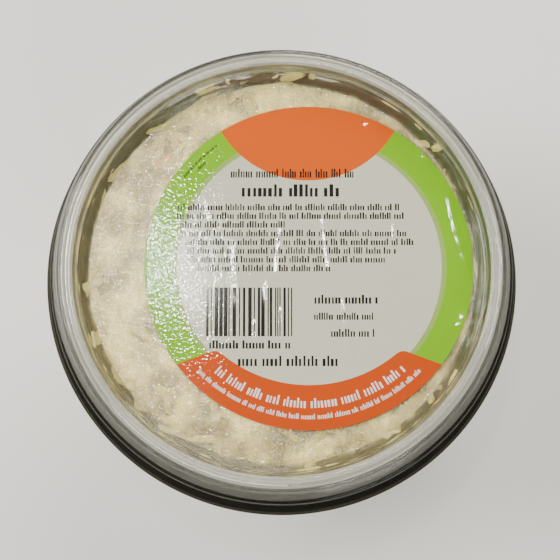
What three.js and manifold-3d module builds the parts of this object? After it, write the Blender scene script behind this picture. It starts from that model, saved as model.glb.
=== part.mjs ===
// Coleslaw in a shut deli tub: clear round tub with a guard flange, press-on recessed lid,
// round label on the lid, and the salad that fills the tub.
// Millimetres, +Z up, origin in the middle of the foot ring, on the table.

import * as THREE from "three";
import { mergeVertices } from "three/addons/utils/BufferGeometryUtils.js";
import Module from "manifold-3d";

// Tub
const TUB_HEIGHT = 63.8; // table to the top of the rim bead
const TUB_WALL = 0.9;
const TUB_FLOOR = 1.0;
const FOOT_LIFT = 1.2; // the floor's underside stands this far off the table
const FOOT_INNER_RADIUS = 38.6;
const FOOT_OUTER_RADIUS = 41.2;
const INSIDE_FLOOR_RADIUS = 40.2;
const INSIDE_BOTTOM_RADIUS = 43.0; // inner wall where the floor's curve ends
const INSIDE_MOUTH_RADIUS = 52.0; // inner wall under the lid
const FLOOR_CURVE = 2.8; // height of the curve from floor to wall
const BEAD_RADIUS = 54.2;
const BEAD_HEIGHT = 2.0;
const NECK_RADIUS = 53.1;

// Guard flange, the skirt round the tub below the lid
const WEB_TOP = 57.4;
const WEB_THICKNESS = 0.9;
const GUARD_RADIUS = 60.7;
const GUARD_BOTTOM = 46.6;
const GUARD_DRAFT = 2.7; // the skirt leans in by this much at its top
const GUARD_WALL = 0.8;

// Lid
const LID_TOP = 65.0;
const PANEL_TOP = 58.0;
const PANEL_THICKNESS = 0.5;
const PANEL_RADIUS = 48.5;
const PLUG_STEP_RADIUS = 50.6; // where the clear sloping plug meets the pale rim
const PLUG_STEP_HEIGHT = 61.0;
const RIM_RIDGE_INNER = 52.2;
const RIM_RIDGE_OUTER = 53.7;
const RIM_GROOVE = 0.35;
const RIM_OUTER_RADIUS = 55.2;
const LID_SKIRT_RADIUS = 57.3;
const LID_SKIRT_BOTTOM = 58.6;
const LID_WALL = 0.7;
const SNAP_RIDGE = 0.8; // how far the snap ring stands inwards under the bead

// Label
const LABEL_RADIUS = 41.3;
const LABEL_THICKNESS = 0.2;
const LABEL_GAP = 0.05;
const LABEL_OFFSET = new THREE.Vector2(6.8, 1.1); // the label was stuck on off centre

// Salad
const CLEARANCE = 0.45; // air left between the salad and the plastic
const SHRED_STAND = 1.7; // the bare core lies this far inside the outermost shreds
const CABBAGE = { length: [15, 38], width: [2.2, 3.2], thickness: [1.1, 1.6] };
const CARROT = { length: [10, 26], width: [1.6, 2.1], thickness: [1.1, 1.4] };
const CARROT_EVERY = 5; // one shred in five is carrot
const WALL_SHREDS = 78;
const TOP_SHREDS = 44;
const GAP_SHREDS = 18; // shreds squeezed up beside the lid's plug
const GAP_THICKNESS = 0.9;
const SHORTEST_SHRED = 7;
const SHRED_STEP = 9; // length of one straight stretch of a bent shred
const STEEPEST = 1.1; // most that a shred leans up or down the wall, in radians
const SEED = 4127;
const FINEST_DETAIL = 0.06; // splinters that joining leaves are merged below this size

const ROUND_SEGMENTS = 48;
const GOLDEN_ANGLE = Math.PI * (3 - Math.sqrt(5));

const wasm = await Module();
wasm.setup();

// A number from 0 to 1 from a small seeded generator, so that every build is alike.
let drawState = SEED;
function draw() {
  drawState = (Math.imul(drawState, 1664525) + 1013904223) >>> 0;
  return drawState / 4294967296;
}

function between([low, high]) {
  return low + (high - low) * draw();
}

// Turns a closed outline of [radius, height] points into a round body about +Z.
function roundBody(outline) {
  const points = outline.map(([radius, height]) => new THREE.Vector2(radius, height));
  const geometry = new THREE.LatheGeometry(points, ROUND_SEGMENTS);
  geometry.rotateX(Math.PI / 2);
  return geometry;
}

// Points on a quarter of an ellipse from one corner to the other, bulging towards the third point.
function quarterCurve([r0, z0], [r1, z1], [bulgeR, bulgeZ], steps) {
  const points = [];
  for (let i = 0; i <= steps; i++) {
    const angle = (i / steps) * (Math.PI / 2);
    const toStart = 1 - Math.sin(angle);
    const toEnd = 1 - Math.cos(angle);
    const r = bulgeR + (r0 - bulgeR) * toStart + (r1 - bulgeR) * toEnd;
    const z = bulgeZ + (z0 - bulgeZ) * toStart + (z1 - bulgeZ) * toEnd;
    points.push([r, z]);
  }
  return points;
}

// Radius of the tub's inner wall at a height above the floor's curve.
function insideRadius(height) {
  const low = FOOT_LIFT + TUB_FLOOR + FLOOR_CURVE;
  const share = (height - low) / (WEB_TOP - low);
  return INSIDE_BOTTOM_RADIUS + (INSIDE_MOUTH_RADIUS - INSIDE_BOTTOM_RADIUS) * share;
}

function tubGeometry() {
  const floorTop = FOOT_LIFT + TUB_FLOOR;
  const curveTop = floorTop + FLOOR_CURVE;
  const webUnder = WEB_TOP - WEB_THICKNESS;
  const guardTopRadius = GUARD_RADIUS - GUARD_DRAFT;
  const beadBottom = TUB_HEIGHT - BEAD_HEIGHT;
  const outsideBottom = INSIDE_BOTTOM_RADIUS + TUB_WALL;
  const outside = [
    [0, FOOT_LIFT],
    [FOOT_INNER_RADIUS - 0.5, FOOT_LIFT],
    [FOOT_INNER_RADIUS, 0],
    ...quarterCurve([FOOT_OUTER_RADIUS, 0], [outsideBottom, curveTop], [outsideBottom, 0], 3),
    [insideRadius(webUnder) + TUB_WALL, webUnder],
    [guardTopRadius - GUARD_WALL, webUnder],
    [GUARD_RADIUS - GUARD_WALL, GUARD_BOTTOM],
    [GUARD_RADIUS, GUARD_BOTTOM],
    ...quarterCurve(
      [guardTopRadius, webUnder],
      [guardTopRadius - WEB_THICKNESS, WEB_TOP],
      [guardTopRadius, WEB_TOP],
      2,
    ),
    [NECK_RADIUS, WEB_TOP],
    [NECK_RADIUS, beadBottom - 0.4],
    [BEAD_RADIUS, beadBottom],
    ...quarterCurve(
      [BEAD_RADIUS, TUB_HEIGHT - 0.8],
      [BEAD_RADIUS - 0.8, TUB_HEIGHT],
      [BEAD_RADIUS, TUB_HEIGHT],
      2,
    ),
  ];
  const inside = [
    [INSIDE_MOUTH_RADIUS + 0.5, TUB_HEIGHT],
    [INSIDE_MOUTH_RADIUS + 0.1, TUB_HEIGHT - 0.6],
    [INSIDE_MOUTH_RADIUS, WEB_TOP],
    ...quarterCurve(
      [INSIDE_BOTTOM_RADIUS, curveTop],
      [INSIDE_FLOOR_RADIUS, floorTop],
      [INSIDE_BOTTOM_RADIUS, floorTop],
      3,
    ),
    [0, floorTop],
  ];
  return roundBody([...outside, ...inside]);
}

function lidGeometry() {
  const panelUnder = PANEL_TOP - PANEL_THICKNESS;
  const channelTop = LID_TOP - LID_WALL;
  const beadBottom = TUB_HEIGHT - BEAD_HEIGHT;
  const skirtInner = BEAD_RADIUS + 0.3;
  const top = [
    [LID_SKIRT_RADIUS - LID_WALL, LID_SKIRT_BOTTOM],
    [LID_SKIRT_RADIUS, LID_SKIRT_BOTTOM],
    [LID_SKIRT_RADIUS - 0.1, LID_SKIRT_BOTTOM + 0.7],
    ...quarterCurve(
      [RIM_OUTER_RADIUS + 0.2, LID_TOP - 1],
      [RIM_OUTER_RADIUS - 0.8, LID_TOP],
      [RIM_OUTER_RADIUS, LID_TOP],
      2,
    ),
    [RIM_RIDGE_OUTER + 0.3, LID_TOP],
    [RIM_RIDGE_OUTER - 0.2, LID_TOP - RIM_GROOVE],
    [RIM_RIDGE_INNER + 0.4, LID_TOP - RIM_GROOVE],
    [RIM_RIDGE_INNER, LID_TOP - 0.1],
    [RIM_RIDGE_INNER - 0.5, LID_TOP - 0.6],
    [PLUG_STEP_RADIUS + 0.3, PLUG_STEP_HEIGHT + 0.3],
    [PLUG_STEP_RADIUS - 0.2, PLUG_STEP_HEIGHT],
    [PANEL_RADIUS + 0.4, PANEL_TOP + 0.6],
    [PANEL_RADIUS, PANEL_TOP],
    [0, PANEL_TOP],
  ];
  const underside = [
    [0, panelUnder],
    [PANEL_RADIUS + 0.5, panelUnder],
    [PANEL_RADIUS + 1.1, PANEL_TOP + 0.3],
    [PLUG_STEP_RADIUS + 0.5, PLUG_STEP_HEIGHT - 0.2],
    [INSIDE_MOUTH_RADIUS - 0.35, PLUG_STEP_HEIGHT + 0.6],
    [INSIDE_MOUTH_RADIUS - 0.25, channelTop],
    [skirtInner, channelTop],
    [skirtInner, beadBottom - 0.3],
    [skirtInner - SNAP_RIDGE, beadBottom - 0.8],
    [skirtInner, beadBottom - 1.6],
  ];
  return roundBody([...top, ...underside, top[0]]);
}

function labelGeometry() {
  const under = PANEL_TOP + LABEL_GAP;
  const over = under + LABEL_THICKNESS;
  const geometry = roundBody([[0, under], [LABEL_RADIUS, under], [LABEL_RADIUS, over], [0, over]]);
  geometry.translate(LABEL_OFFSET.x, LABEL_OFFSET.y, 0);
  return geometry;
}

// A manifold solid of a three.js geometry, from its merged corner points alone.
function solidOf(geometry) {
  const bare = geometry.clone();
  bare.deleteAttribute("normal");
  bare.deleteAttribute("uv");
  const merged = mergeVertices(bare, 1e-3);
  const mesh = new wasm.Mesh({
    numProp: 3,
    vertProperties: merged.attributes.position.array,
    triVerts: new Uint32Array(merged.index.array),
  });
  return new wasm.Manifold(mesh);
}

function geometryOf(solid) {
  const mesh = solid.getMesh();
  const geometry = new THREE.BufferGeometry();
  geometry.setAttribute("position", new THREE.BufferAttribute(mesh.vertProperties, 3));
  geometry.setIndex(new THREE.BufferAttribute(mesh.triVerts, 1));
  geometry.computeVertexNormals();
  return geometry;
}

// Places a shred lies on. Each takes how far along and across the shred a point is, and how
// deep it is under the outermost surface, and gives the point in space.

// Against the tub's wall, at an angle round the tub and a height, heading up or down the wall.
function againstWall(angle, height, heading, bend) {
  return (along, across, depth) => {
    const turned = heading + bend * along;
    const sideways = along * Math.cos(turned) - across * Math.sin(turned);
    const z = height + along * Math.sin(turned) + across * Math.cos(turned);
    const radius = insideRadius(z) - CLEARANCE - depth;
    const a = angle + sideways / INSIDE_MOUTH_RADIUS;
    return new THREE.Vector3(radius * Math.cos(a), radius * Math.sin(a), z);
  };
}

// Flat under the lid's panel, at a distance from the middle and an angle.
function underPanel(distance, angle, heading, bend) {
  const centreX = distance * Math.cos(angle);
  const centreY = distance * Math.sin(angle);
  return (along, across, depth) => {
    const turned = heading + bend * along;
    const x = centreX + along * Math.cos(turned) - across * Math.sin(turned);
    const y = centreY + along * Math.sin(turned) + across * Math.cos(turned);
    return new THREE.Vector3(x, y, PANEL_TOP - PANEL_THICKNESS - CLEARANCE - depth);
  };
}

// On edge in the gap between the lid's plug and the tub's wall.
function besidePlug(angle, height, slope) {
  return (along, across, depth) => {
    const z = height + slope * along + across;
    const radius = INSIDE_MOUTH_RADIUS - CLEARANCE - depth;
    const a = angle + along / INSIDE_MOUTH_RADIUS;
    return new THREE.Vector3(radius * Math.cos(a), radius * Math.sin(a), z);
  };
}

// A bent strip with square edges and narrowed ends, laid on one of the places above.
function shred({ length, width, thickness }, place, depth) {
  const steps = Math.max(2, Math.round(length / SHRED_STEP));
  const geometry = new THREE.BoxGeometry(length, width, thickness, steps, 1, 1);
  const position = geometry.attributes.position;
  for (let i = 0; i < position.count; i++) {
    const along = position.getX(i);
    const endNarrowing = 1 - 0.45 * Math.pow(Math.abs(along) / (length / 2), 4);
    const across = position.getY(i) * endNarrowing;
    const under = depth + thickness / 2 - position.getZ(i);
    const point = place(along, across, under);
    position.setXYZ(i, point.x, point.y, point.z);
  }
  const solid = solidOf(geometry);
  return solid.volume() > 0 ? solid : solidOf(mirroredFaces(geometry));
}

// The same box with each face turned round, for a place that turns it inside out.
function mirroredFaces(geometry) {
  const turned = geometry.clone();
  const index = turned.index.array;
  for (let i = 0; i < index.length; i += 3) {
    const second = index[i + 1];
    index[i + 1] = index[i + 2];
    index[i + 2] = second;
  }
  return turned;
}

function shredSize(number) {
  const kind = number % CARROT_EVERY === 0 ? CARROT : CABBAGE;
  return {
    length: between(kind.length),
    width: between(kind.width),
    thickness: between(kind.thickness),
  };
}

// The salad under its shreds: what fills the tub, a little smaller all round. Its shoulder is
// squeezed up into the gap between the lid's plug and the tub's wall.
function saladCore() {
  const inset = CLEARANCE + SHRED_STAND;
  const bottom = FOOT_LIFT + TUB_FLOOR + CLEARANCE;
  const curveTop = FOOT_LIFT + TUB_FLOOR + FLOOR_CURVE + 1;
  const top = PANEL_TOP - PANEL_THICKNESS - inset;
  const shoulder = INSIDE_MOUTH_RADIUS - CLEARANCE - 0.5;
  const outline = [
    [0, bottom],
    [INSIDE_FLOOR_RADIUS - inset, bottom],
    [insideRadius(curveTop) - inset, curveTop],
    [insideRadius(top - 5) - inset, top - 5],
    [shoulder, top - 0.5],
    [shoulder, top + SHRED_STAND],
    [shoulder - 0.8, top + SHRED_STAND],
    [PANEL_RADIUS, top],
    [0, top],
  ];
  return solidOf(roundBody(outline));
}

// The same shred, shortened until its four outer corners are inside.
function shortened(size, place, inside) {
  const corners = [[-0.5, -0.5], [-0.5, 0.5], [0.5, -0.5], [0.5, 0.5]];
  let length = size.length;
  const fits = () => corners.every(([end, side]) => inside(place(end * length, side * size.width, 0)));
  while (length > SHORTEST_SHRED && !fits()) {
    length *= 0.9;
  }
  return { ...size, length };
}

function wallShreds() {
  const low = FOOT_LIFT + TUB_FLOOR + FLOOR_CURVE + 1;
  const high = PANEL_TOP - PANEL_THICKNESS - 0.8;
  const inside = (point) => point.z > low && point.z < high;
  return Array.from({ length: WALL_SHREDS }, (_, i) => {
    const height = low + 2 + ((high - low - 4) * (i + 0.5)) / WALL_SHREDS;
    const heading = STEEPEST * (2 * draw() - 1);
    const bend = 0.02 * (2 * draw() - 1);
    const place = againstWall(i * GOLDEN_ANGLE, height, heading, bend);
    return shred(shortened(shredSize(i), place, inside), place, 0.7 * draw());
  });
}

function topShreds() {
  const reach = insideRadius(PANEL_TOP - 3) - CLEARANCE - 1;
  const inside = (point) => Math.hypot(point.x, point.y) < reach;
  return Array.from({ length: TOP_SHREDS }, (_, i) => {
    const distance = Math.sqrt((i + 0.5) / TOP_SHREDS) * (reach - 3);
    // Near the wall a shred turns along it.
    const freedom = 1 - Math.pow(distance / reach, 3);
    const angle = i * GOLDEN_ANGLE;
    const heading = angle + Math.PI / 2 + Math.PI * freedom * (draw() - 0.5);
    const bend = 0.022 * (1 - freedom) + 0.05 * freedom * (draw() - 0.5);
    const place = underPanel(distance, angle, heading, bend);
    return shred(shortened(shredSize(i + 2), place, inside), place, 0.7 * draw());
  });
}

function gapShreds() {
  return Array.from({ length: GAP_SHREDS }, (_, i) => {
    const size = shredSize(i + 1);
    const angle = (i + 0.7 * draw()) * ((2 * Math.PI) / GAP_SHREDS);
    const height = PANEL_TOP - 1.4 + 0.9 * draw();
    const slope = 0.05 * (draw() - 0.5);
    return shred({ ...size, thickness: GAP_THICKNESS }, besidePlug(angle, height, slope), 0);
  });
}

// The core and its shreds joined. What the joining seals off or leaves loose is dropped.
function saladGeometry() {
  const shreds = [...wallShreds(), ...topShreds(), ...gapShreds()];
  const joined = shreds.reduce((sum, one) => sum.add(one), saladCore());
  const merged = solidOf(geometryOf(joined.simplify(FINEST_DETAIL)));
  const bodies = merged.decompose();
  const largest = bodies.reduce((a, b) => (b.volume() > a.volume() ? b : a));
  return geometryOf(largest);
}

function piece(name, geometry, look) {
  const mesh = new THREE.Mesh(geometry, new THREE.MeshStandardMaterial({ ...look, metalness: 0 }));
  mesh.name = name;
  return mesh;
}

const CLEAR_PLASTIC = { color: "#c9cbc2", roughness: 0.15, transparent: true, opacity: 0.35 };
const FROSTED_PLASTIC = { color: "#c8c4b0", roughness: 0.45, transparent: true, opacity: 0.55 };
const LABEL_FILM = { color: "#c8c6be", roughness: 0.3 };
const DRESSED_SALAD = { color: "#d8cc9c", roughness: 0.4 };

const group = new THREE.Group();
group.add(piece("tub", tubGeometry(), CLEAR_PLASTIC));
group.add(piece("coleslaw", saladGeometry(), DRESSED_SALAD));
group.add(piece("lid", lidGeometry(), FROSTED_PLASTIC));
group.add(piece("label", labelGeometry(), LABEL_FILM));

export default group;
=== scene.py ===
import math

import bpy
import numpy as np
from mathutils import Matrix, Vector


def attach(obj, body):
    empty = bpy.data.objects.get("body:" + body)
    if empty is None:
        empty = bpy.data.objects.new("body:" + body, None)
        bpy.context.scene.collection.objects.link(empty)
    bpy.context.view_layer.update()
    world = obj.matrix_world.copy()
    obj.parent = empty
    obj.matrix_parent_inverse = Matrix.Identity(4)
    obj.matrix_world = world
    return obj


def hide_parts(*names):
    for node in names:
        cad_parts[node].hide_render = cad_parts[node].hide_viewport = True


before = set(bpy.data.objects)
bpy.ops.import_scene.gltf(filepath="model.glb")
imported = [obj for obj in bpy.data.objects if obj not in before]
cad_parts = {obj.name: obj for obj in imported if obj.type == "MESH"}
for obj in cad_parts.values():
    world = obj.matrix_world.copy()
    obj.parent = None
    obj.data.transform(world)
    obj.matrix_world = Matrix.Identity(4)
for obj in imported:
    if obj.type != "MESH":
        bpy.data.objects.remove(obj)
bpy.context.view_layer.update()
MM = 0.001

# Camera. It looks down on the lid from 350 mm away, ten degrees off the vertical on the near side.
# Its lens gives the photograph's 4 pixels per millimetre at the lid's panel, which is 58 mm up.
PHOTO_SIDE = 560
PIXELS_PER_MM = 3.99
CAMERA_DISTANCE = 350 * MM
CAMERA_ELEVATION = math.radians(80)
SENSOR = 36.0
PANEL_TOP = 58.0

aim = Vector((-0.4 * MM, -2.6 * MM, PANEL_TOP * MM))
to_camera = Vector((0, -math.cos(CAMERA_ELEVATION), math.sin(CAMERA_ELEVATION)))
camera = bpy.data.objects.new("camera", bpy.data.cameras.new("camera"))
camera.data.sensor_width = SENSOR
camera.data.lens = SENSOR * PIXELS_PER_MM / MM * CAMERA_DISTANCE / PHOTO_SIDE
camera.data.clip_start = 0.01
camera.location = aim + to_camera * CAMERA_DISTANCE
camera.rotation_euler = (-to_camera).to_track_quat("-Z", "Y").to_euler()
bpy.context.collection.objects.link(camera)
bpy.context.scene.camera = camera


# Floor and lights. A plain pale table, a small lamp whose mirror image falls on the left of the
# lid and glitters there, wide soft lamps left and behind, and a weak one on the near side.
def linear(hex_colour):
    """Linear RGBA of an sRGB hex colour."""
    channels = [int(hex_colour[i:i + 2], 16) / 255 for i in (1, 3, 5)]
    return [c / 12.92 if c <= 0.04045 else ((c + 0.055) / 1.055) ** 2.4 for c in channels] + [1.0]


def add_node(tree, kind, inputs=None, **settings):
    """Adds a node. Settings are its own options, and inputs are socket values or sockets to link."""
    node = tree.nodes.new(kind)
    for option, value in settings.items():
        setattr(node, option, value)
    for socket, value in (inputs or {}).items():
        if isinstance(value, bpy.types.NodeSocket):
            tree.links.new(value, node.inputs[socket])
        else:
            node.inputs[socket].default_value = value
    return node


def new_material(name):
    """An empty node material: its tree and its output node."""
    material = bpy.data.materials.new(name)
    material.use_nodes = True
    material.node_tree.nodes.clear()
    output = add_node(material.node_tree, "ShaderNodeOutputMaterial")
    return material, material.node_tree, output


def new_piece(name, points, *faces, smooth=True):
    """A mesh object from points (n, 3) and one array of faces for each number of corners."""
    mesh = bpy.data.meshes.new(name)
    mesh.vertices.add(len(points))
    mesh.vertices.foreach_set("co", np.asarray(points, np.float32).ravel())
    corners = np.concatenate([some.ravel() for some in faces]).astype(np.int32)
    sizes = np.concatenate([np.full(len(some), some.shape[1]) for some in faces])
    mesh.loops.add(len(corners))
    mesh.loops.foreach_set("vertex_index", corners)
    mesh.polygons.add(len(sizes))
    mesh.polygons.foreach_set("loop_start", (np.cumsum(sizes) - sizes).astype(np.int32))
    mesh.polygons.foreach_set("use_smooth", np.full(len(sizes), smooth))
    mesh.update(calc_edges=True)
    mesh.validate()
    piece = bpy.data.objects.new(name, mesh)
    bpy.context.collection.objects.link(piece)
    return piece


FLOOR_HALF = 1.2
floor_points = np.array([(-1, -1, 0), (1, -1, 0), (1, 1, 0), (-1, 1, 0)]) * FLOOR_HALF
floor = new_piece("table_top", floor_points, np.array([[0, 1, 2, 3]]))
paint, tree, output = new_material("matt_table_paint")
shader = add_node(tree, "ShaderNodeBsdfPrincipled", {
    "Base Color": linear("#f2f1ee"), "Roughness": 0.75,
})
tree.links.new(shader.outputs["BSDF"], output.inputs["Surface"])
floor.data.materials.append(paint)


def soft_lamp(name, place, width, depth, power, colour):
    """An area lamp that faces the lid: its place and size in metres, its power in watts."""
    lamp = bpy.data.lights.new(name, "AREA")
    lamp.shape = "RECTANGLE"
    lamp.size = width
    lamp.size_y = depth
    lamp.energy = power
    lamp.color = linear(colour)[:3]
    holder = bpy.data.objects.new(name, lamp)
    holder.location = place
    holder.rotation_euler = (aim - Vector(place)).to_track_quat("-Z", "Y").to_euler()
    bpy.context.collection.objects.link(holder)


soft_lamp("ceiling_spot", (-0.104, 0.174, 0.98), 0.024, 0.075, 1.15, "#fffdf6")
soft_lamp("left_softbox", (-0.95, 0.25, 0.75), 0.7, 0.7, 18.5, "#fdfcf8")
soft_lamp("back_softbox", (0.35, 1.0, 0.7), 0.8, 0.5, 15.5, "#fffaf2")
soft_lamp("near_softbox", (0.5, -1.0, 0.6), 0.6, 0.4, 8.5, "#ffffff")

world = bpy.data.worlds.new("room")
bpy.context.scene.world = world
world.use_nodes = True
world.node_tree.nodes["Background"].inputs["Color"].default_value = linear("#e6e6e2")
world.node_tree.nodes["Background"].inputs["Strength"].default_value = 0.3


# Tub. One thin-walled moulding of clear polypropylene: foot ring, tapered wall, mouth with a rim
# bead, and the guard flange with its drop skirt. It is its outline turned round the axis.
def rounded(corners, steps=5, long_straight=1.0):
    """Points of an outline whose corners [radius, height, rounding] become quadratic curves.

    Each curve starts and ends up to its rounding away from the corner, and long straights get a
    point near each end, so that smooth shading keeps them flat.
    """
    corners = np.array(corners, float)
    places, roundings = corners[:, :2], corners[:, 2]
    points = [places[0]]
    for i in range(1, len(corners) - 1):
        before, after = places[i - 1] - places[i], places[i + 1] - places[i]
        reach = []
        for side, neighbour in ((before, roundings[i - 1]), (after, roundings[i + 1])):
            length = np.linalg.norm(side)
            share = roundings[i] / max(roundings[i] + neighbour, 1e-9)
            reach.append(side / length * min(roundings[i], length * share))
        t = np.linspace(0, 1, steps)[:, None] if roundings[i] > 0 else np.array([[0.5]])
        start, end = places[i] + reach[0], places[i] + reach[1]
        points.extend((1 - t) ** 2 * start + 2 * t * (1 - t) * places[i] + t ** 2 * end)
    points.append(places[-1])
    filled = [points[0]]
    for last, point in zip(points, points[1:]):
        length = np.linalg.norm(point - last)
        if length > long_straight:
            near_end = 0.2 / length
            filled.extend(last + (point - last) * share for share in (near_end, 0.5, 1 - near_end))
        filled.append(point)
    return np.array(filled) * MM


def turned(name, outline, around=192):
    """A closed round piece: an outline from the axis to the axis, turned about +Z."""
    ring = outline[1:-1]
    angle = np.arange(around) / around * 2 * np.pi
    x = ring[:, None, 0] * np.cos(angle)
    y = ring[:, None, 0] * np.sin(angle)
    z = np.broadcast_to(ring[:, None, 1], x.shape)
    points = np.stack([x, y, z], -1).reshape(-1, 3)
    poles = np.array([[0, 0, outline[0, 1]], [0, 0, outline[-1, 1]]])
    index = np.arange(len(ring) * around).reshape(len(ring), around)
    beside = np.roll(index, -1, 1)
    quads = np.stack([index[:-1], beside[:-1], beside[1:], index[1:]], -1).reshape(-1, 4)
    first = np.full(around, len(points))
    fans = np.concatenate([
        np.stack([first, beside[0], index[0]], -1),
        np.stack([first + 1, index[-1], beside[-1]], -1),
    ])
    return new_piece(name, np.concatenate([points, poles]), quads, fans)


# The tub's sizes in millimetres.
FOOT_INSIDE = 38.6
FOOT_OUTSIDE = 41.2
FOOT_LIFT = 1.2
FOOT_CURVE = 5.0
FLOOR_TOP = 2.2
FLOOR_CURVE = 2.8
CURVE_TOP = 5.0
WALL = 0.9
BOTTOM_RADIUS = 43.0
MOUTH_RADIUS = 52.0
WEB_TOP = 57.4
WEB_UNDER = 56.5
GUARD_RADIUS = 60.7
GUARD_TOP_RADIUS = 58.0
GUARD_BOTTOM = 46.6
GUARD_WALL = 0.8
NECK_RADIUS = 53.1
BEAD_RADIUS = 54.2
BEAD_UNDER = 61.5
BEAD_TOP = 63.8


def inside_radius(height):
    """Inner radius of the tub's wall at a height, both in millimetres."""
    share = (height - CURVE_TOP) / (WEB_TOP - CURVE_TOP)
    return BOTTOM_RADIUS + (MOUTH_RADIUS - BOTTOM_RADIUS) * share


tub = turned("clear_tub", rounded([
    (0, FOOT_LIFT, 0),
    (FOOT_INSIDE - 0.5, FOOT_LIFT, 0.5),
    (FOOT_INSIDE, 0, 0.4),
    (FOOT_OUTSIDE, 0, 0.0),
    (BOTTOM_RADIUS + WALL, 0, FOOT_CURVE),
    (inside_radius(WEB_UNDER) + WALL, WEB_UNDER, 0.8),
    (GUARD_TOP_RADIUS - GUARD_WALL, WEB_UNDER, 0.6),
    (GUARD_RADIUS - GUARD_WALL, GUARD_BOTTOM, 0.25),
    (GUARD_RADIUS, GUARD_BOTTOM, 0.25),
    (GUARD_TOP_RADIUS, WEB_TOP, 0.9),
    (NECK_RADIUS, WEB_TOP, 0.5),
    (NECK_RADIUS, BEAD_UNDER, 0.3),
    (BEAD_RADIUS, BEAD_UNDER + 0.4, 0.4),
    (BEAD_RADIUS, BEAD_TOP, 0.8),
    (MOUTH_RADIUS + 0.3, BEAD_TOP, 0.6),
    (MOUTH_RADIUS, WEB_TOP, 0.5),
    (BOTTOM_RADIUS, CURVE_TOP, 0.0),
    (BOTTOM_RADIUS, FLOOR_TOP, FLOOR_CURVE),
    (0, FLOOR_TOP, 0),
]))


def distance_from_axis(tree, position):
    """A socket with the distance from the Z axis, in metres."""
    parts = add_node(tree, "ShaderNodeSeparateXYZ", {"Vector": position})
    flat = add_node(tree, "ShaderNodeCombineXYZ", {"X": parts.outputs["X"], "Y": parts.outputs["Y"]})
    length = add_node(tree, "ShaderNodeVectorMath", {0: flat.outputs["Vector"]}, operation="LENGTH")
    return length.outputs["Value"]


def both(tree, first, second):
    """A socket that is 1 where both sockets are 1: their product."""
    product = add_node(tree, "ShaderNodeMath", {0: first, 1: second}, operation="MULTIPLY")
    return product.outputs["Value"]


def see_through(tree, shader, share, tint):
    """The shader mixed with a plain tinted film, which bends no light and lets lamps through."""
    film = add_node(tree, "ShaderNodeBsdfTransparent", {"Color": linear(tint)})
    mixed = add_node(tree, "ShaderNodeMixShader", {0: share, 1: shader, 2: film.outputs["BSDF"]})
    return mixed.outputs["Shader"]


def lets_lamps_through(tree, shader, tint):
    """The clear shader, made see-through for rays from lamps, so that they reach what is behind it."""
    lamp_ray = add_node(tree, "ShaderNodeLightPath").outputs["Is Shadow Ray"]
    return see_through(tree, shader, lamp_ray, tint)


# Clear polypropylene, injection moulded and glossy, faintly grey tinted. Over the flange a dark film
# is mixed in as painted shade, dark where it is seen edge-on and clearer face-on. It stands for the
# shadow under the tub seen through the clear flange. Flow streaks 6 mm apart break the wall's gloss.
FLANGE_START = 54.0
STREAKS = 0.16 / MM
clear_pp, tree, output = new_material("clear_polypropylene")
position = add_node(tree, "ShaderNodeTexCoord").outputs["Object"]
radius = distance_from_axis(tree, position)
is_flange = add_node(tree, "ShaderNodeMapRange", {
    "Value": radius, "From Min": FLANGE_START * MM, "From Max": (FLANGE_START + 2.0) * MM,
})
up = add_node(tree, "ShaderNodeSeparateXYZ", {"Vector": position}).outputs["Z"]
is_web = add_node(tree, "ShaderNodeMapRange", {
    "Value": up, "From Min": (WEB_UNDER - 0.7) * MM, "From Max": WEB_UNDER * MM,
})
skirt_shade_share = add_node(tree, "ShaderNodeMapRange", {
    "Value": add_node(tree, "ShaderNodeLayerWeight").outputs["Facing"],
    "From Min": 0.3, "From Max": 0.70, "To Min": 0.22, "To Max": 0.98,
})
# Share of the painted shade: fixed on the web, and growing on the skirt as it is seen more edge-on.
flange_shade_share = add_node(tree, "ShaderNodeMix", {
    0: is_web.outputs["Result"], 2: skirt_shade_share.outputs["Result"], 3: 0.68,
})
painted_shade_mask = both(tree, is_flange.outputs["Result"], flange_shade_share.outputs[0])
streaks = add_node(tree, "ShaderNodeTexNoise", {"Vector": position, "Scale": STREAKS, "Detail": 3.0})
relief = add_node(tree, "ShaderNodeBump", {
    "Height": streaks.outputs["Fac"], "Strength": 0.03, "Distance": 0.2 * MM,
})
shader = add_node(tree, "ShaderNodeBsdfPrincipled", {
    "Base Color": linear("#d9dacd"), "Roughness": 0.06, "IOR": 1.49,
    "Transmission Weight": 1.0, "Normal": relief.outputs["Normal"],
})
# The dark film #464237 is painted shade laid over the clear flange.
clear_with_painted_shade = see_through(tree, shader.outputs["BSDF"], painted_shade_mask, "#464237")
tree.links.new(lets_lamps_through(tree, clear_with_painted_shade, "#e4e4dc"), output.inputs["Surface"])
tub.data.materials.append(clear_pp)
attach(tub, "root")
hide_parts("tub")

# Lid. A second clear moulding that snaps over the rim bead: a sunken panel, a sloping plug, a
# rim with a shallow groove on top, and a short flared skirt with the snap ring inside.
PANEL_UNDER = 57.5
PANEL_RADIUS = 48.5
PLUG_FOOT_RADIUS = 49.0
STEP_RADIUS = 50.6
RIM_UNDER = 64.3
RIM_INSIDE = 54.5
LID_TOP = 65.0
GROOVE_DEPTH = 0.35
SNAP_RING_RADIUS = 53.7
SNAP_RING_HEIGHT = 61.0
SKIRT_RADIUS = 57.3
SKIRT_WALL = 0.7
SKIRT_BOTTOM = 58.6

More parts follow.
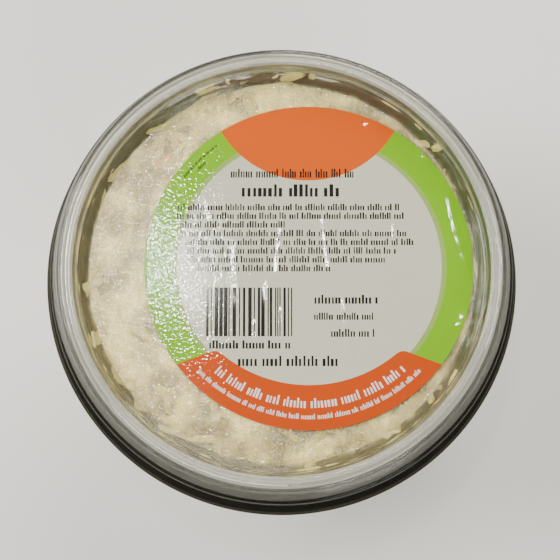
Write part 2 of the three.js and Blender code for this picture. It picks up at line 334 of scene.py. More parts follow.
lid = turned("snap_lid", rounded([
    (0, PANEL_UNDER, 0),
    (PLUG_FOOT_RADIUS, PANEL_UNDER, 0.5),
    (49.6, 58.3, 0.3),
    (51.1, 60.8, 0.3),
    (51.65, 61.6, 0.2),
    (51.75, RIM_UNDER, 0.5),
    (RIM_INSIDE, RIM_UNDER, 0.5),
    (RIM_INSIDE, SNAP_RING_HEIGHT + 0.5, 0.2),
    (SNAP_RING_RADIUS, SNAP_RING_HEIGHT, 0.2),
    (RIM_INSIDE, SNAP_RING_HEIGHT - 0.8, 0.3),
    (SKIRT_RADIUS - SKIRT_WALL, SKIRT_BOTTOM, 0.15),
    (SKIRT_RADIUS, SKIRT_BOTTOM, 0.2),
    (SKIRT_RADIUS - 0.1, 59.3, 0.3),
    (55.3, LID_TOP, 1.0),
    (54.0, LID_TOP, 0.2),
    (53.5, LID_TOP - GROOVE_DEPTH, 0.15),
    (52.6, LID_TOP - GROOVE_DEPTH, 0.15),
    (52.2, LID_TOP - 0.1, 0.2),
    (51.7, LID_TOP - 0.6, 0.4),
    (STEP_RADIUS + 0.3, 61.3, 0.3),
    (STEP_RADIUS - 0.2, 61.0, 0.2),
    (PANEL_RADIUS + 0.4, 58.6, 0.2),
    (PANEL_RADIUS, PANEL_TOP, 0.25),
    (0, PANEL_TOP, 0),
]))


# Clear polypropylene with a spark-eroded panel, whose grain breaks up what lies under it, glitters
# and takes on its cream colour. The rim is slightly milky and shows fine turning lines, and the
# thin skirt is clearer. Real grain is about 0.1 mm, and it is drawn 0.4 to 0.8 mm wide to show.
GRAIN = 1.25 / MM
PITS = 2.3 / MM
TURNING_LINES = 1.5 / MM
MILKY_LINES = 0.9 / MM
PLUG_EDGE = 51.6
RIM_EDGE = 54.9
SKIRT_START = 54.3
frosted_pp, tree, output = new_material("spark_eroded_polypropylene")
position = add_node(tree, "ShaderNodeTexCoord").outputs["Object"]
radius = distance_from_axis(tree, position)
is_panel = add_node(tree, "ShaderNodeMapRange", {
    "Value": radius, "From Min": (PANEL_RADIUS - 0.1) * MM, "From Max": (PANEL_RADIUS - 0.2) * MM,
})
past_plug = add_node(tree, "ShaderNodeMapRange", {
    "Value": radius, "From Min": PLUG_EDGE * MM, "From Max": (PLUG_EDGE + 0.5) * MM,
})
before_skirt = add_node(tree, "ShaderNodeMapRange", {
    "Value": radius, "From Min": RIM_EDGE * MM, "From Max": (RIM_EDGE - 1.0) * MM,
})
is_rim = both(tree, past_plug.outputs["Result"], before_skirt.outputs["Result"])
grain = add_node(tree, "ShaderNodeTexNoise", {"Vector": position, "Scale": GRAIN, "Detail": 1.0})
panel_grain = both(tree, grain.outputs["Fac"], is_panel.outputs["Result"])
turning = add_node(tree, "ShaderNodeTexNoise", {
    "W": radius, "Scale": TURNING_LINES,
}, noise_dimensions="1D")
height = add_node(tree, "ShaderNodeMath", {
    0: turning.outputs["Fac"], 1: 0.2, 2: panel_grain,
}, operation="MULTIPLY_ADD")
relief = add_node(tree, "ShaderNodeBump", {
    "Height": height.outputs["Value"], "Strength": 1.0, "Distance": 0.1 * MM,
})
pits = add_node(tree, "ShaderNodeTexNoise", {"Vector": position, "Scale": PITS, "Detail": 2.0})
frost = add_node(tree, "ShaderNodeMapRange", {
    "Value": both(tree, pits.outputs["Fac"], is_panel.outputs["Result"]),
    "From Min": 0.42, "From Max": 0.60, "To Min": 1.0, "To Max": 0.68,
})
clearness = add_node(tree, "ShaderNodeMath", {
    0: is_rim, 1: -0.26, 2: frost.outputs["Result"],
}, operation="MULTIPLY_ADD")
lines = add_node(tree, "ShaderNodeTexNoise", {
    "W": radius, "Scale": MILKY_LINES, "Detail": 3.0,
}, noise_dimensions="1D")
milk = add_node(tree, "ShaderNodeValToRGB", {"Fac": lines.outputs["Fac"]})
milk.color_ramp.elements[0].position = 0.35
milk.color_ramp.elements[0].color = linear("#bdbcb0")
milk.color_ramp.elements[1].position = 0.60
milk.color_ramp.elements[1].color = linear("#f1f0e8")
inner = add_node(tree, "ShaderNodeMix", {
    0: is_panel.outputs["Result"], 6: linear("#ecebe3"), 7: linear("#f2ebcd"),
}, data_type="RGBA")
tint = add_node(tree, "ShaderNodeMix", {
    0: is_rim, 6: inner.outputs[2], 7: milk.outputs["Color"],
}, data_type="RGBA")
shader = add_node(tree, "ShaderNodeBsdfPrincipled", {
    "Base Color": tint.outputs[2], "Roughness": 0.09, "IOR": 1.49,
    "Transmission Weight": clearness.outputs["Value"], "Normal": relief.outputs["Normal"],
})
is_skirt = add_node(tree, "ShaderNodeMapRange", {
    "Value": radius, "From Min": SKIRT_START * MM, "From Max": (SKIRT_START + 1.0) * MM, "To Max": 0.6,
})
clear = see_through(tree, shader.outputs["BSDF"], is_skirt.outputs["Result"], "#d0cfc8")
tree.links.new(lets_lamps_through(tree, clear, "#e3e3db"), output.inputs["Surface"])
lid.data.materials.append(frosted_pp)
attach(lid, "root")
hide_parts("lid")

# Label. A round self-adhesive film stuck on the panel off centre: an orange lens at the top, a
# green ring, an orange band at the bottom and a pale grey middle, with creases from handling.
LABEL_RADIUS = 41.3
LABEL_CENTRE = np.array([6.8, 1.1])
LABEL_UNDER = 58.03
LABEL_TOP = 58.2
FINE_STEP = 0.16
PLAIN_STEP = 0.6

# Creases, in label millimetres: height up the label of the top and bottom end, place across it of
# the top, middle and bottom, half width and rise. Bubbles: place across and up, radius and rise.
CREASES = [
    (19.9, 10.9, -26.9, -25.5, -23.8, 0.9, 0.04),
    (9.8, -12.0, -18.1, -18.1, -17.2, 0.9, 0.055),
    (16.7, -4.8, -5.7, -7.0, -8.0, 0.9, 0.075),
    (-2.4, -10.9, -9.5, -10.3, -9.7, 0.8, 0.065),
    (-9.1, -20.1, -6.6, -6.6, -6.5, 0.8, 0.07),
    (-12.9, -20.2, -12.9, -13.0, -13.1, 0.8, 0.055),
    (16.4, -5.0, 3.7, 4.6, 6.2, 0.9, 0.085),
    (-4.8, -27.1, 8.7, 9.6, 11.1, 0.9, 0.11),
    (13.4, 5.9, 21.7, 21.6, 21.9, 0.7, 0.11),
    (22.9, -6.0, 34.8, 37.4, 41.8, 0.9, 0.17),
]
BUBBLES = [
    (30.0, 28.4, 1.4, 0.25),
    (15.2, 37.2, 1.3, 0.20),
    (16.9, 36.6, 1.3, 0.20),
    (18.4, 35.6, 1.3, 0.20),
    (39.2, -12.6, 1.6, 0.30),
    (38.3, -15.2, 1.6, 0.30),
    (24.0, -33.4, 0.8, 0.12),
]


CREST_WAVE = 0.015
END_FADE = 5


def crease_relief(x, y):
    """How far the film is lifted at label places x and y, in millimetres.

    Each crease is a ridge exp(-(distance / half width)^2) along a curve through its three places,
    slightly wavy in height, which fades in the last fifth of its length at each end. Each bubble is
    a dome of the same form.
    """
    height = np.zeros_like(x)
    for top, bottom, x_top, x_middle, x_bottom, half_width, rise in CREASES:
        share = np.clip((top - y) / (top - bottom), 0, 1)
        line = x_top * (1 - share) * (1 - 2 * share) + x_bottom * share * (2 * share - 1)
        line += x_middle * 4 * share * (1 - share)
        fade = np.clip(share * END_FADE, 0, 1) * np.clip((1 - share) * END_FADE, 0, 1)
        crest = rise + CREST_WAVE * np.cos(1.6 * y + 5 * x_top)
        height += crest * fade * fade * np.exp(-(((x - line) / half_width) ** 2))
    for x_centre, y_centre, radius, rise in BUBBLES:
        height += rise * np.exp(-((x - x_centre) ** 2 + (y - y_centre) ** 2) / radius ** 2)
    return height


def label_sheet(name, rows):
    """The film: columns of points from edge to edge, closer where there are creases, flat below."""
    x = np.arange(-LABEL_RADIUS + 0.02, LABEL_RADIUS - 0.02, PLAIN_STEP)
    for top, bottom, x_top, x_middle, x_bottom, half_width, rise in CREASES:
        left = min(x_top, x_middle, x_bottom) - 2 * half_width
        right = max(x_top, x_middle, x_bottom) + 2 * half_width
        x = np.concatenate([x[(x < left) | (x > right)], np.arange(left, right, FINE_STEP)])
    x = np.unique(x[np.abs(x) < LABEL_RADIUS - 0.01].round(3))
    half = np.sqrt(LABEL_RADIUS ** 2 - x ** 2)
    y = half[:, None] * np.sin(np.linspace(-np.pi / 2, np.pi / 2, rows))
    x = np.broadcast_to(x[:, None], y.shape)
    top = np.stack([x + LABEL_CENTRE[0], y + LABEL_CENTRE[1], LABEL_TOP + crease_relief(x, y)], -1)
    index = np.arange(top.shape[0] * rows).reshape(-1, rows)
    quads = np.stack([index[:-1, :-1], index[1:, :-1], index[1:, 1:], index[:-1, 1:]], -1)
    edge = np.concatenate([index[:, 0], index[-1, 1:], index[-2::-1, -1], index[0, -2:0:-1]])
    under = top.reshape(-1, 3)[edge]
    under[:, 2] = LABEL_UNDER
    points = np.concatenate([top.reshape(-1, 3), under, [[*LABEL_CENTRE, LABEL_UNDER]]]) * MM
    below = top.shape[0] * rows + np.arange(len(edge))
    sides = np.stack([below, np.roll(below, -1), np.roll(edge, -1), edge], -1)
    fan = np.stack([np.full(len(edge), len(points) - 1), np.roll(below, -1), below], -1)
    return new_piece(name, points, np.concatenate([quads.reshape(-1, 4), sides]), fan)


label = label_sheet("round_label", 200)


def compare(tree, value, limit, operation="LESS_THAN"):
    """A socket that is 1 where the value is under the limit, or over it with GREATER_THAN."""
    test = add_node(tree, "ShaderNodeMath", {0: value, 1: limit}, operation=operation)
    return test.outputs["Value"]


def over(tree, below, mask, colour):
    """The colour laid over what is below, where the mask is 1."""
    mixed = add_node(tree, "ShaderNodeMix", {
        0: mask, 6: below, 7: linear(colour),
    }, data_type="RGBA")
    return mixed.outputs[2]


def distance_to(tree, position, x, y):
    """A socket with the distance from a label place, in metres."""
    centre = [(LABEL_CENTRE[0] + x) * MM, (LABEL_CENTRE[1] + y) * MM, LABEL_TOP * MM]
    away = add_node(tree, "ShaderNodeVectorMath", {0: position, 1: centre}, operation="DISTANCE")
    return away.outputs["Value"]


# Printed polypropylene film with a gloss varnish. Its fields are plain inks cut by circles and
# two slanting lines, with a darker fringe inside the ring. The panel's grain shows through it as
# fine glitter, most on the left, where the film is stuck down hardest, and is drawn 0.8 mm wide.
FILM_GRAIN = 1.2 / MM
RING_CENTRE = (0.2, 0.0)
RING_INSIDE = 34.4
FRINGE_INSIDE = 33.2
LENS_CENTRE = (-0.15, 47.3)
LENS_RADIUS = 25.4
BAND_CENTRE = (0.0, 3.9)
BAND_INSIDE = 34.0
BAND_TOP = -12.5
BAND_SLOPE = 0.38
BAND_CORNER = 2.5

film, tree, output = new_material("printed_label_film")
position = add_node(tree, "ShaderNodeTexCoord").outputs["Object"]
parts = add_node(tree, "ShaderNodeSeparateXYZ", {"Vector": position})
from_middle = distance_to(tree, position, *RING_CENTRE)
in_ring = compare(tree, from_middle, RING_INSIDE * MM, "GREATER_THAN")
in_fringe = compare(tree, from_middle, FRINGE_INSIDE * MM, "GREATER_THAN")
in_lens = compare(tree, distance_to(tree, position, *LENS_CENTRE), LENS_RADIUS * MM)
sideways = add_node(tree, "ShaderNodeMath", {
    0: parts.outputs["X"], 1: -LABEL_CENTRE[0] * MM,
}, operation="ADD")
outwards = add_node(tree, "ShaderNodeMath", {0: sideways.outputs["Value"]}, operation="ABSOLUTE")
slant = add_node(tree, "ShaderNodeMath", {
    0: outwards.outputs["Value"], 1: -BAND_SLOPE, 2: (BAND_TOP + LABEL_CENTRE[1]) * MM,
}, operation="MULTIPLY_ADD")
below_slant = add_node(tree, "ShaderNodeMath", {
    0: slant.outputs["Value"], 1: parts.outputs["Y"],
}, operation="SUBTRACT")
outside_circle = add_node(tree, "ShaderNodeMath", {
    0: distance_to(tree, position, *BAND_CENTRE), 1: BAND_INSIDE * MM,
}, operation="SUBTRACT")
band_depth = add_node(tree, "ShaderNodeMath", {
    0: below_slant.outputs["Value"], 1: outside_circle.outputs["Value"], 2: BAND_CORNER * MM,
}, operation="SMOOTH_MIN")
in_band = compare(tree, band_depth.outputs["Value"], 0.0, "GREATER_THAN")
ink = over(tree, linear("#cac9b2"), in_fringe, "#93ac58")
ink = over(tree, ink, in_ring, "#79b400")
ink = over(tree, ink, in_lens, "#d65a10")
ink = over(tree, ink, in_band, "#c44a0e")
film_grain = add_node(tree, "ShaderNodeTexNoise", {
    "Vector": position, "Scale": FILM_GRAIN, "Detail": 1.0,
})
stuck_down = add_node(tree, "ShaderNodeMapRange", {
    "Value": parts.outputs["X"], "From Min": -17.0 * MM, "From Max": -4.0 * MM,
    "To Min": 1.0, "To Max": 0.3,
})
grain_height = both(tree, film_grain.outputs["Fac"], stuck_down.outputs["Result"])
relief = add_node(tree, "ShaderNodeBump", {
    "Height": grain_height, "Strength": 1.0, "Distance": 0.05 * MM,
})
shader = add_node(tree, "ShaderNodeBsdfPrincipled", {
    "Base Color": ink, "Roughness": 0.06, "IOR": 1.49, "Normal": relief.outputs["Normal"],
})
tree.links.new(shader.outputs["BSDF"], output.inputs["Surface"])
label.data.materials.append(film)
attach(label, "root")
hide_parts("label")


# Print on the label. Groups of small upright blocks stand where lines of print would be, with a
# block of stripes, so that the label carries no words. Each is a thin patch of ink on the film.
INK_LIFT = 0.012


def ink_patches(name, marks, rows, colour):
    """Patches of ink, from rows of place across and up, heading, width and height on the label.

    Each patch is a grid of 2 by the given rows of cells draped over the creases.
    """
    x, y, heading, width, height = np.array(marks).T[:, :, None]
    cell_edges = np.meshgrid(np.linspace(-0.5, 0.5, 3), np.linspace(-0.5, 0.5, rows + 1))
    across, up = (grid.ravel() for grid in cell_edges)
    x = x + across * width * np.cos(heading) - up * height * np.sin(heading)
    y = y + across * width * np.sin(heading) + up * height * np.cos(heading)
    z = LABEL_TOP + crease_relief(x, y) + INK_LIFT
    points = np.stack([x + LABEL_CENTRE[0], y + LABEL_CENTRE[1], z], -1).reshape(-1, 3) * MM
    cell = np.arange(3 * (rows + 1)).reshape(rows + 1, 3)
    quads = np.stack([cell[:-1, :-1], cell[:-1, 1:], cell[1:, 1:], cell[1:, :-1]], -1).reshape(-1, 4)
    offsets = cell.size * np.arange(len(marks))[:, None, None]
    piece = new_piece(name, points, (quads + offsets).reshape(-1, 4))
    piece.data.materials.append(colour)
    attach(piece, "root")


def print_line(length, cap, weight):
    """One line of print: rows of place along it, width and height of each block, in groups.

    Cap is the height of its tallest blocks, and weight the usual width of one.
    """
    rows, place = [], weight / 2
    while place < length:
        for _ in range(draw.integers(3, 10)):
            rows.append((place, weight * draw.uniform(0.8, 1.2), cap * draw.choice([0.7, 0.7, 1.0])))
            place += weight * draw.uniform(1.5, 1.85)
        place += cap * 0.35
    return np.array([row for row in rows if row[0] < length])


def straight_line(left, right, middle, cap, weight):
    """Marks of a level line of print, from left to right, with its middle at a height."""
    place, width, height = print_line(right - left, cap, weight).T
    return np.stack([left + place, middle - cap / 2 + height / 2, 0 * place, width, height], -1)


def curved_line(radius, first, last, cap, weight):
    """Marks of a line of print round the label, between two angles from straight down.

    With a negative radius the line lies opposite, above the middle, with its blocks outwards.
    """
    length = abs(radius * (last - first))
    place, width, height = print_line(length, cap, weight).T
    angle = first + (last - first) * place / length
    away = radius + cap / 2 - height / 2
    return np.stack([away * np.sin(angle), -away * np.cos(angle), angle, width, height], -1)


def ink_of(name, colour):
    """A plain ink under the film's gloss varnish."""
    material, tree, output = new_material(name)
    shader = add_node(tree, "ShaderNodeBsdfPrincipled", {
        "Base Color": linear(colour), "Roughness": 0.08,
    })
    tree.links.new(shader.outputs["BSDF"], output.inputs["Surface"])
    return material


draw = np.random.default_rng(20)
black_ink = ink_of("thermal_black_ink", "#1f1e1c")
white_ink = ink_of("white_label_ink", "#efe6de")
# Straight lines have left, right, middle, height of their tallest blocks and width of one, and
# curved lines have radius, first and last angle, and the same two.
black_lines = [
    straight_line(-19.7, 11.4, 23.8, 2.3, 0.38),
    straight_line(-16.9, 8.4, 19.3, 3.2, 0.80),
    straight_line(1.4, 17.7, -8.6, 2.3, 0.50),
    straight_line(1.3, 16.4, -12.9, 1.8, 0.38),
    straight_line(5.5, 16.3, -17.1, 2.0, 0.42),
    straight_line(-17.6, 6.9, -24.1, 2.6, 0.60),
    straight_line(-24.8, -4.5, -20.0, 2.1, 0.50),
    curved_line(-38.9, math.radians(54), math.radians(37), 0.8, 0.20),
    curved_line(-37.4, math.radians(49), math.radians(44), 0.8, 0.20),
]
FIRST_LINE = 15.0
LINE_SPACING = 2.24
line_ends = [
    (-33.0, 23.1),
    (-33.2, 24.0),
    (-32.5, -5.0),
    (-33.2, 25.0),
    (-31.0, 26.5),
    (-30.5, 22.0),
    (-29.5, 19.0),
    (-28.0, 5.2),
]
for row, (left, right) in enumerate(line_ends):
    black_lines.append(straight_line(left, right, FIRST_LINE - LINE_SPACING * row, 1.7, 0.38))
ink_patches("label_print", np.concatenate(black_lines), 2, black_ink)
white_lines = [
    curved_line(34.6, math.radians(-41), math.radians(42), 2.4, 0.50),
    curved_line(37.9, math.radians(-46), math.radians(46.5), 1.3, 0.26),
]
ink_patches("label_white_print", np.concatenate(white_lines), 2, white_ink)
STRIPES_LEFT = -25.6
STRIPES_RIGHT = -4.2
STRIPES_MIDDLE = -11.8
STRIPES_HEIGHT = 12.3
stripes = []
place = STRIPES_LEFT
while place < STRIPES_RIGHT:
    width = draw.choice([0.3, 0.3, 0.6, 0.9])
    stripes.append((place + width / 2, STRIPES_MIDDLE, 0.0, width, STRIPES_HEIGHT))
    place += width + draw.choice([0.25, 0.25, 0.5, 0.7])
ink_patches("label_stripes", stripes, 14, black_ink)


# Dressing. The creamy sauce that fills the tub between the shreds: a lumpy solid of revolution
# that wets the wall, the floor and the lid's panel in most places and leaves shallow air pockets.
# It reaches slightly into the plastic where it wets it, so that no gap shows.
WET = 0.12
WALL_PART_TOP = 54.0
fill_outline = rounded([
    (0, FLOOR_TOP - WET, 0),
    (40.2, FLOOR_TOP - WET, 0.5),
    (BOTTOM_RADIUS + WET, CURVE_TOP, 1.5),
    (inside_radius(WALL_PART_TOP) + WET, WALL_PART_TOP, 0.5),
    (MOUTH_RADIUS + WET, 57.2, 0.4),
    (51.2, 58.6, 0.4),
    (50.1, 57.8, 0.4),
    (49.4, 56.6, 0.4),
    (48.0, PANEL_UNDER + WET, 0.8),
    (0, PANEL_UNDER + WET, 0),
])


def lumps(points, seed, longest, shortest, count=70):
    """A smooth random field, mostly from -1 to 1: waves of random direction, length and phase."""
    waves = np.random.default_rng(seed)
    heading = waves.normal(size=(count, 3))
    heading /= np.linalg.norm(heading, axis=1)[:, None]
    wavelength = waves.uniform(shortest, longest, count)
    phase = waves.uniform(0, 2 * np.pi, count)
    turns = points / MM @ (heading / wavelength[:, None]).T * 2 * np.pi
    return np.cos(turns + phase).sum(-1) / np.sqrt(count)


def mesh_points(piece):
    """The piece's corner points and their normals, as arrays (n, 3)."""
    points = np.empty(len(piece.data.vertices) * 3, np.float32)
    piece.data.vertices.foreach_get("co", points)
    normals = np.empty_like(points)
    piece.data.vertex_normals.foreach_get("vector", normals)
    return points.reshape(-1, 3).astype(float), normals.reshape(-1, 3).astype(float)


def evenly(outline, step):
    """The same outline with its points a fixed step apart."""
    run = np.concatenate([[0], np.cumsum(np.hypot(*np.diff(outline, axis=0).T))])
    places = np.linspace(0, run[-1], int(run[-1] / step) + 1)
    return np.stack([np.interp(places, run, side) for side in outline.T], -1)


# The waves that make the pockets are 8 to 22 mm long, and those of the fine lumps 2 to 3 mm.
POCKET_DEPTH = 0.9
LUMP_DEPTH = 0.22
dressing = turned("creamy_dressing", evenly(fill_outline, 0.8 * MM), 330)
points, normals = mesh_points(dressing)
pockets = np.clip(lumps(points, seed=5, longest=22.0, shortest=8.0), 0, 1.4) * POCKET_DEPTH
fine_lumps = np.clip(lumps(points, seed=6, longest=3.2, shortest=1.8), -1, 1)
fine_lumps = fine_lumps * LUMP_DEPTH + LUMP_DEPTH
points -= normals * ((pockets + fine_lumps) * MM)[:, None]
dressing.data.vertices.foreach_set("co", points.astype(np.float32).ravel())
dressing.data.update()

# Mayonnaise dressing: an oil and egg emulsion with a wet gloss. It is cream with darker blotches
# 9 mm apart and paler against the wall. Painted shade greys it where a pocket of air keeps it off the
# panel, and painted shade darkens it where it was pushed up into the gap beside the lid's plug.
BLOTCHES = 0.11 / MM
POCKET_TOP = 57.2
GAP_FOOT_HEIGHT = 52.0
sauce, tree, output = new_material("mayonnaise_dressing")
position = add_node(tree, "ShaderNodeTexCoord").outputs["Object"]
radius = distance_from_axis(tree, position)
parts = add_node(tree, "ShaderNodeSeparateXYZ", {"Vector": position})
blotch = add_node(tree, "ShaderNodeTexNoise", {"Vector": position, "Scale": BLOTCHES, "Detail": 4.0})
cream = add_node(tree, "ShaderNodeValToRGB", {"Fac": blotch.outputs["Fac"]})
cream.color_ramp.elements[0].position = 0.40
cream.color_ramp.elements[0].color = linear("#8f7f50")
cream.color_ramp.elements[1].position = 0.58
cream.color_ramp.elements[1].color = linear("#f7eab2")
at_wall = add_node(tree, "ShaderNodeMapRange", {
    "Value": parts.outputs["Z"], "To Max": 0.75,
    "From Min": GAP_FOOT_HEIGHT * MM, "From Max": (GAP_FOOT_HEIGHT - 3.0) * MM,
})
cream = over(tree, cream.outputs["Color"], at_wall.outputs["Result"], "#f2e9c8")
outer = add_node(tree, "ShaderNodeMapRange", {
    "Value": radius, "From Min": PLUG_FOOT_RADIUS * MM, "From Max": (PLUG_FOOT_RADIUS + 0.8) * MM,
})
upper = add_node(tree, "ShaderNodeMapRange", {
    "Value": parts.outputs["Z"],
    "From Min": GAP_FOOT_HEIGHT * MM, "From Max": (GAP_FOOT_HEIGHT + 2.5) * MM,
})
gap_painted_shade = both(tree, outer.outputs["Result"], upper.outputs["Result"])
near_top = add_node(tree, "ShaderNodeMapRange", {
    "Value": parts.outputs["Z"],
    "From Min": (GAP_FOOT_HEIGHT - 2.0) * MM, "From Max": (GAP_FOOT_HEIGHT - 1.0) * MM,
})
sunken = add_node(tree, "ShaderNodeMapRange", {
    "Value": parts.outputs["Z"],
    "From Min": POCKET_TOP * MM, "From Max": (POCKET_TOP - 0.7) * MM,
})
pocket_painted_shade = both(tree, near_top.outputs["Result"], sunken.outputs["Result"])
# Painted shade: the dressing is coloured greyer where it lies sunk in a pocket below the panel.
colour = over(tree, cream, pocket_painted_shade, "#83795a")
# Painted shade: a dark colour on the dressing in the gap beside the lid's plug.
colour = over(tree, colour, gap_painted_shade, "#4a4638")
shader = add_node(tree, "ShaderNodeBsdfPrincipled", {
    "Base Color": colour, "Roughness": 0.32, "IOR": 1.45,
    "Subsurface Weight": 0.15, "Subsurface Radius": (0.8, 0.6, 0.35), "Subsurface Scale": 1.0 * MM,
})
tree.links.new(shader.outputs["BSDF"], output.inputs["Surface"])
dressing.data.materials.append(sauce)
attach(dressing, "root")
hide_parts("coleslaw")


# Shreds. Cabbage and carrot cut into strips, pressed against the wall, the floor and the lid's
# panel, and squeezed up beside the plug. All the strips of one kind are one mesh.
def on_wall(sideways, upwards, depth, angle, height):
    """Points on the tub's wall: sideways and upwards from a place, and depth inwards."""
    z = height + upwards
    radius = inside_radius(z) - depth
    turn = angle + sideways / inside_radius(height)
    return radius * np.cos(turn), radius * np.sin(turn), z


def under_panel(sideways, upwards, depth, angle, distance):
    """Points flat under the lid's panel, from a place at an angle and a distance from the axis."""
    x = distance * np.cos(angle) + sideways
    y = distance * np.sin(angle) + upwards
    return x, y, PANEL_UNDER - depth + 0 * x


def on_floor(sideways, upwards, depth, angle, distance):
    """Points flat on the tub's floor."""
    x, y, z = under_panel(sideways, upwards, depth, angle, distance)
    return x, y, FLOOR_TOP + PANEL_UNDER - z


SQUARENESS = 0.6
TIP_TAPER = 0.75
EDGE_WAVE = 0.35
WAVE_TURN = 0.55


def strips(place, spots, sizes, depths, headings, bends, steps=9, sides=8):
    """Bent strips: a rounded oblong section carried along a wavy arc that lies on a surface.

    The section is (cos, sin) of an angle to the power of the squareness, and narrows at the tips.
    Place gives the points of the surface, spots are angle and height or distance of each strip,
    and sizes are length, width and thickness. Returns points (n, steps, sides, 3).
    """
    run = np.linspace(-0.5, 0.5, steps)[None, :, None]
    turn = np.arange(sides) / sides * 2 * np.pi + np.pi / sides
    flat = np.sign(np.cos(turn)) * np.abs(np.cos(turn)) ** SQUARENESS
    thick = np.sign(np.sin(turn)) * np.abs(np.sin(turn)) ** SQUARENESS
    length, width, thickness = (sizes[:, i, None, None] for i in range(3))
    narrow = 1 - TIP_TAPER * np.abs(2 * run) ** 6
    along = run * length
    wave = EDGE_WAVE * np.sin(along * WAVE_TURN + headings[:, None, None] * 9)
    across = flat * width / 2 * narrow + wave
    direction = headings[:, None, None] + bends[:, None, None] * along
    arc = direction - bends[:, None, None] * along / 2
    sideways = along * np.cos(arc) - across * np.sin(direction)
    upwards = along * np.sin(arc) + across * np.cos(direction)
    depth = depths[:, None, None] + thickness / 2 * (1 + thick * narrow)
    angle, spot = spots[:, 0, None, None], spots[:, 1, None, None]
    return np.stack(place(sideways, upwards, depth, angle, spot), -1)


def shred_batch(draw, count, place, low, high, size_range, surface_depth, curl, lie):
    """Draws spots spread evenly over a surface, with sizes, depths and headings, and makes strips."""
    order = np.arange(count)
    angle = order * np.pi * (3 - np.sqrt(5)) + draw.uniform(-0.1, 0.1, count)
    share = (order + draw.uniform(0, 1, count)) / count
    if place is on_wall:
        spot = low + (high - low) * share
    else:
        spot = np.sqrt(low ** 2 + (high ** 2 - low ** 2) * share)
    sizes = np.stack([draw.uniform(*limits, count) for limits in size_range], -1)
    depth = draw.uniform(*surface_depth, count)
    heading = lie(draw.uniform(-np.pi / 2, np.pi / 2, count), angle, spot)
    bend = draw.normal(0, curl, count)
    return strips(place, np.stack([angle, spot], -1), sizes, depth, heading, bend)


GAP_TOP = 59.0
PLUG_SPREAD = 0.62
PLUG_WIDENING = 2.2


def kept_inside(points):
    """Moves points that stick out of the tub's inside back to its wall, floor or lid.

    The limit is the wall's cone less a quarter circle at its foot, and the plug is a cone too.
    """
    x, y, z = np.moveaxis(points, -1, 0)
    z = np.clip(z, FLOOR_TOP - WET, GAP_TOP)
    radius = np.hypot(x, y)
    curve = np.clip(CURVE_TOP - z, 0, FLOOR_CURVE)
    bulge = FLOOR_CURVE - np.sqrt(np.maximum(FLOOR_CURVE ** 2 - curve ** 2, 0))
    limit = inside_radius(z) + WET - bulge
    plug = np.clip((z - PANEL_UNDER) * PLUG_SPREAD, 0, PLUG_WIDENING) + PLUG_FOOT_RADIUS
    shrink = np.minimum(1, limit / np.maximum(radius, 1e-6))
    under_plug = (radius * shrink < plug) & (z > PANEL_UNDER + WET)
    z = np.where(under_plug, PANEL_UNDER + WET, z)
    return np.stack([x * shrink, y * shrink, z], -1)


def shred_piece(name, batches, seed):
    """One mesh of all the strips in the batches, with a random tone from 0 to 1 on each strip."""
    points = kept_inside(np.concatenate(batches))
    count, steps, sides = points.shape[:3]
    index = np.arange(count * steps * sides).reshape(count, steps, sides)
    beside = np.roll(index, -1, 2)
    quads = np.stack([index[:, :-1], index[:, 1:], beside[:, 1:], beside[:, :-1]], -1)
    ends = np.concatenate([index[:, 0], index[:, -1, ::-1]])
    piece = new_piece(name, points.reshape(-1, 3) * MM, quads.reshape(-1, 4), ends)
    tone = np.repeat(np.random.default_rng(seed).uniform(0, 1, count), steps * sides)
    layer = piece.data.attributes.new("tone", "FLOAT", "POINT")
    layer.data.foreach_set("value", tone.astype(np.float32))
    return piece


MEETS_WALL = 50.0


def along_wall(heading, angle, distance):
    """Headings of strips under the panel: the nearer the wall, the more they lie along it."""
    nearness = (distance / MEETS_WALL) ** 6
    return angle + np.pi / 2 + heading * (1 - nearness)


def near_level(share):
    """The rule for headings of strips on the wall: their slope is cut to this share."""
    return lambda heading, angle, height: heading * share


# Sizes are the least and most of length, width and thickness. Strips in the gap beside the plug are
# smaller. Each batch has its number, its place, the least and most height on the wall or distance
# from the axis, its sizes, its depth under the surface, its curl and how its strips lie.
CABBAGE_SIZES = ((12, 34), (1.6, 3.2), (0.7, 1.3))
GAP_SIZES = ((6, 20), (1.2, 2.4), (0.6, 1.0))
CARROT_SIZES = ((8, 24), (1.3, 1.9), (0.9, 1.3))
draw = np.random.default_rng(31)
cabbage = shred_piece("cabbage_shreds", [
    shred_batch(draw, 600, on_wall, 4.0, 53.5, CABBAGE_SIZES, (-0.1, 1.3), 0.02, near_level(0.7)),
    shred_batch(draw, 250, under_panel, 0, 48.5, CABBAGE_SIZES, (0.0, 1.7), 0.03, along_wall),
    shred_batch(draw, 150, on_floor, 0, 39.5, CABBAGE_SIZES, (-0.1, 1.2), 0.03, along_wall),
    shred_batch(draw, 11, on_wall, 56.0, 57.8, GAP_SIZES, (0.0, 0.9), 0.004, near_level(0.06)),
], 1)
carrot = shred_piece("carrot_shreds", [
    shred_batch(draw, 52, on_wall, 6.0, 43.0, CARROT_SIZES, (-0.05, 0.8), 0.01, near_level(0.8)),
    shred_batch(draw, 26, under_panel, 0, 46.5, CARROT_SIZES, (0.5, 1.6), 0.015, along_wall),
    shred_batch(draw, 14, on_floor, 0, 38.0, CARROT_SIZES, (0.0, 0.8), 0.015, along_wall),
], 2)

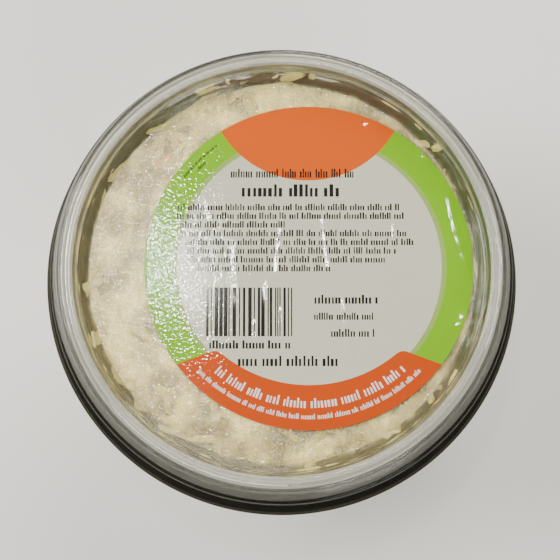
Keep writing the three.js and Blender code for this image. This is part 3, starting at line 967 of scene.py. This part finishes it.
# White cabbage, cut 2 to 3 mm wide: wet, faintly see-through flesh from white rib to yellow-green
# leaf, a tone for each strip, mottled 2.4 mm apart by its thin coat of dressing.
MOTTLES = 0.42 / MM
flesh, tree, output = new_material("dressed_white_cabbage")
tone = add_node(tree, "ShaderNodeAttribute", attribute_name="tone").outputs["Fac"]
position = add_node(tree, "ShaderNodeTexCoord").outputs["Object"]
leaf = add_node(tree, "ShaderNodeValToRGB", {"Fac": tone})
leaf.color_ramp.elements[0].color = linear("#e8dcaa")
leaf.color_ramp.elements[1].color = linear("#cfc47a")
rib = leaf.color_ramp.elements.new(0.55)
rib.color = linear("#d6c88e")
mottle = add_node(tree, "ShaderNodeTexNoise", {"Vector": position, "Scale": MOTTLES, "Detail": 3.0})
shade = add_node(tree, "ShaderNodeMapRange", {
    "Value": mottle.outputs["Fac"], "To Min": 0.72, "To Max": 1.1,
})
dressed = add_node(tree, "ShaderNodeVectorMath", {
    0: leaf.outputs["Color"], "Scale": shade.outputs["Result"],
}, operation="SCALE")
shader = add_node(tree, "ShaderNodeBsdfPrincipled", {
    "Base Color": dressed.outputs["Vector"], "Roughness": 0.3, "IOR": 1.42,
    "Subsurface Weight": 0.25, "Subsurface Radius": (1.0, 0.9, 0.5), "Subsurface Scale": 0.8 * MM,
})
tree.links.new(shader.outputs["BSDF"], output.inputs["Surface"])
cabbage.data.materials.append(flesh)

# Carrot, grated: wet orange flesh, paler where dressing clings to it in patches 3 mm apart.
PATCHES = 0.3 / MM
root_flesh, tree, output = new_material("dressed_carrot")
tone = add_node(tree, "ShaderNodeAttribute", attribute_name="tone").outputs["Fac"]
position = add_node(tree, "ShaderNodeTexCoord").outputs["Object"]
coat = add_node(tree, "ShaderNodeTexNoise", {"Vector": position, "Scale": PATCHES, "Detail": 2.0})
cling = add_node(tree, "ShaderNodeMath", {
    0: coat.outputs["Fac"], 1: tone, 2: 0.1,
}, operation="MULTIPLY_ADD")
orange = over(tree, linear("#dc7a24"), cling.outputs["Value"], "#e6c98c")
shader = add_node(tree, "ShaderNodeBsdfPrincipled", {
    "Base Color": orange, "Roughness": 0.3, "IOR": 1.42,
    "Subsurface Weight": 0.2, "Subsurface Radius": (1.2, 0.6, 0.2), "Subsurface Scale": 0.8 * MM,
})
tree.links.new(shader.outputs["BSDF"], output.inputs["Surface"])
carrot.data.materials.append(root_flesh)
for shreds in (cabbage, carrot):
    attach(shreds, "root")
    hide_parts("coleslaw")
